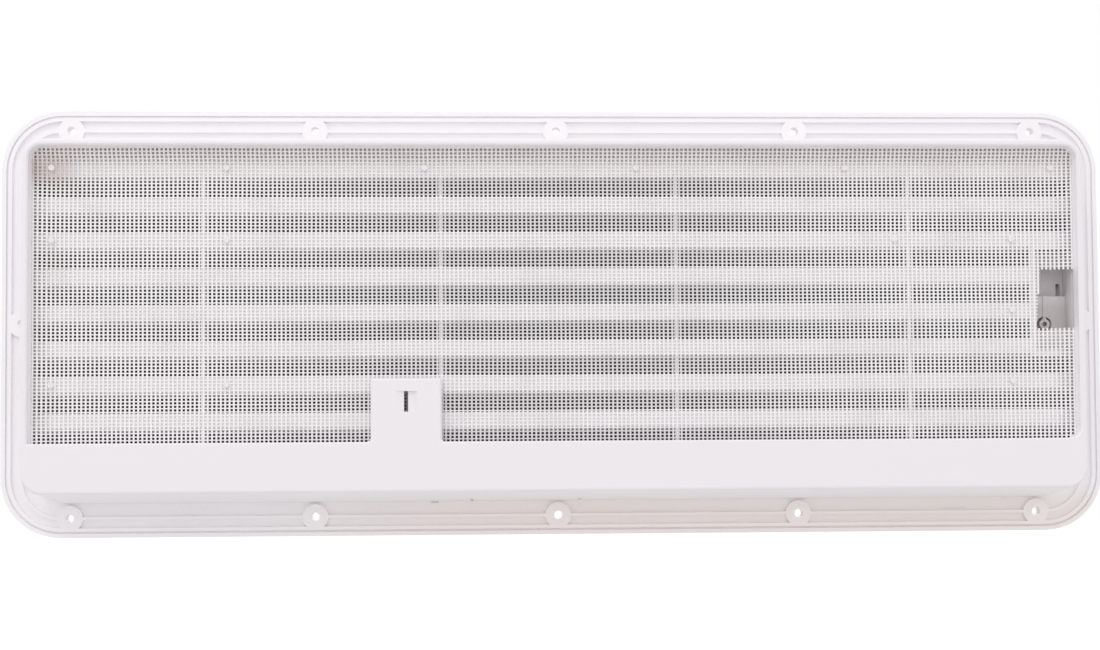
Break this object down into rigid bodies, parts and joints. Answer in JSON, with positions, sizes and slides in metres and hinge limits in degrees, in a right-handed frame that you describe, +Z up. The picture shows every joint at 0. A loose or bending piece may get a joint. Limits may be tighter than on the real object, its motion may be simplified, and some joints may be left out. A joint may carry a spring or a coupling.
{
  "type": "fridge vent grille",
  "caption": "Rectangular white plastic louvred vent for a caravan fridge, with a rounded screw flange, a drafted collar and an insect net staked behind the slats.",
  "frame": {"origin": "centre of the screw pattern, in the plane where the flange's rear rim meets the wall", "axes": "+X along the length with the latch pocket at the -X end, +Y into the wall along the collar, +Z up with the wide strip at the bottom"},
  "size_m": [0.54, 0.0384, 0.208],
  "materials": {
    "frame_plastic": "satin white moulding",
    "panel_plastic": "satin white moulding",
    "net": "white coated net"
  },
  "bodies": {
    "root": {"vent_frame": "frame_plastic", "louvre_panel": "panel_plastic", "insect_screen": "net"}
  },
  "joints": []
}
